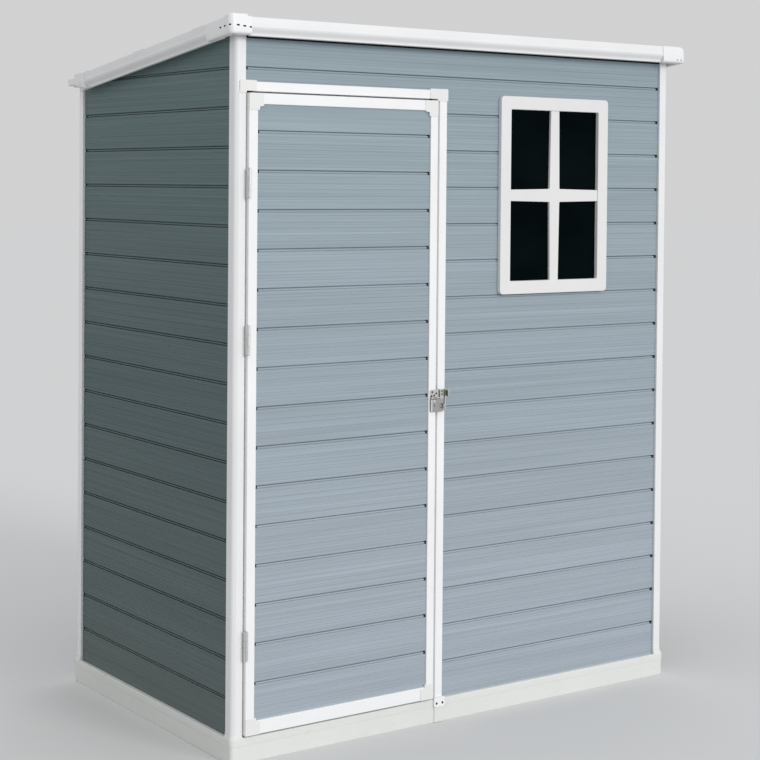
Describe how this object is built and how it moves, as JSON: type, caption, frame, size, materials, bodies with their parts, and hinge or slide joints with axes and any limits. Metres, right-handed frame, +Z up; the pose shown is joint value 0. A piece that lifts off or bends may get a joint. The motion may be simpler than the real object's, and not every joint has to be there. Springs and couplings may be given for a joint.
{
  "type": "resin storage shed",
  "caption": "Small pent-roof garden shed of horizontal plastic boards with a hinged door, a hasp and a fixed window.",
  "frame": {"origin": "on the ground, in the middle of the shed's overall box", "axes": "+X to the right along the front, +Y to the back, +Z up"},
  "size_m": [1.571, 0.9519, 1.8924],
  "materials": {
    "white_trim": "satin white extruded PVC",
    "base_plastic": "matt off-white moulded plastic",
    "floor_plastic": "matt ribbed moulded plastic",
    "grey_board": "matt blue-grey boards with a fine embossed grain",
    "roof_plastic": "matt white boards",
    "window_sheet": "clear plastic sheet",
    "zinc_metal": "zinc-plated steel"
  },
  "bodies": {
    "shell": {"floor_panel": "floor_plastic", "base_rail_front": "base_plastic", "base_rail_back": "base_plastic", "base_rail_left": "base_plastic", "base_rail_right": "base_plastic", "post_front_left": "white_trim", "post_front_right": "white_trim", "post_back_left": "white_trim", "post_back_right": "white_trim", "wall_left": "grey_board", "wall_right": "grey_board", "wall_back": "grey_board", "front_wall_over_door": "grey_board", "front_wall_right": "grey_board", "window_frame": "white_trim", "window_pane": "window_sheet", "window_inner_trim": "white_trim", "door_header": "white_trim", "door_jamb_left": "white_trim", "door_jamb_right": "white_trim", "header_fitting_left": "white_trim", "header_fitting_right": "white_trim", "jamb_foot": "white_trim", "hinge_frame_leaves": "zinc_metal", "hinge_pins": "zinc_metal", "hasp_catch": "zinc_metal", "roof_panel": "roof_plastic", "fascia_front": "white_trim", "fascia_back": "white_trim", "fascia_left": "white_trim", "fascia_right": "white_trim", "roof_cap_front_left": "white_trim", "roof_cap_front_right": "white_trim", "roof_cap_back_left": "white_trim", "roof_cap_back_right": "white_trim"},
    "door": {"door_panel": "grey_board", "door_stile_left": "white_trim", "door_stile_right": "white_trim", "door_rail_top": "white_trim", "door_rail_bottom": "white_trim", "door_corner_fittings": "white_trim", "hinge_door_leaves": "zinc_metal", "hasp_base": "zinc_metal", "hasp_pin": "zinc_metal"},
    "flap": {"hasp_flap": "zinc_metal"}
  },
  "joints": [
    {"name": "door_swing", "type": "hinge", "parent": "shell", "child": "door", "pos_m": [-0.7135, -0.45319, 0], "axis": [0, 0, -1], "range_deg": [0, 110]},
    {"name": "hasp_flap_lift", "type": "hinge", "parent": "door", "child": "flap", "pos_m": [-0.126, -0.45329, 0.892], "axis": [-1, 0, 0], "range_deg": [0, 150]}
  ]
}
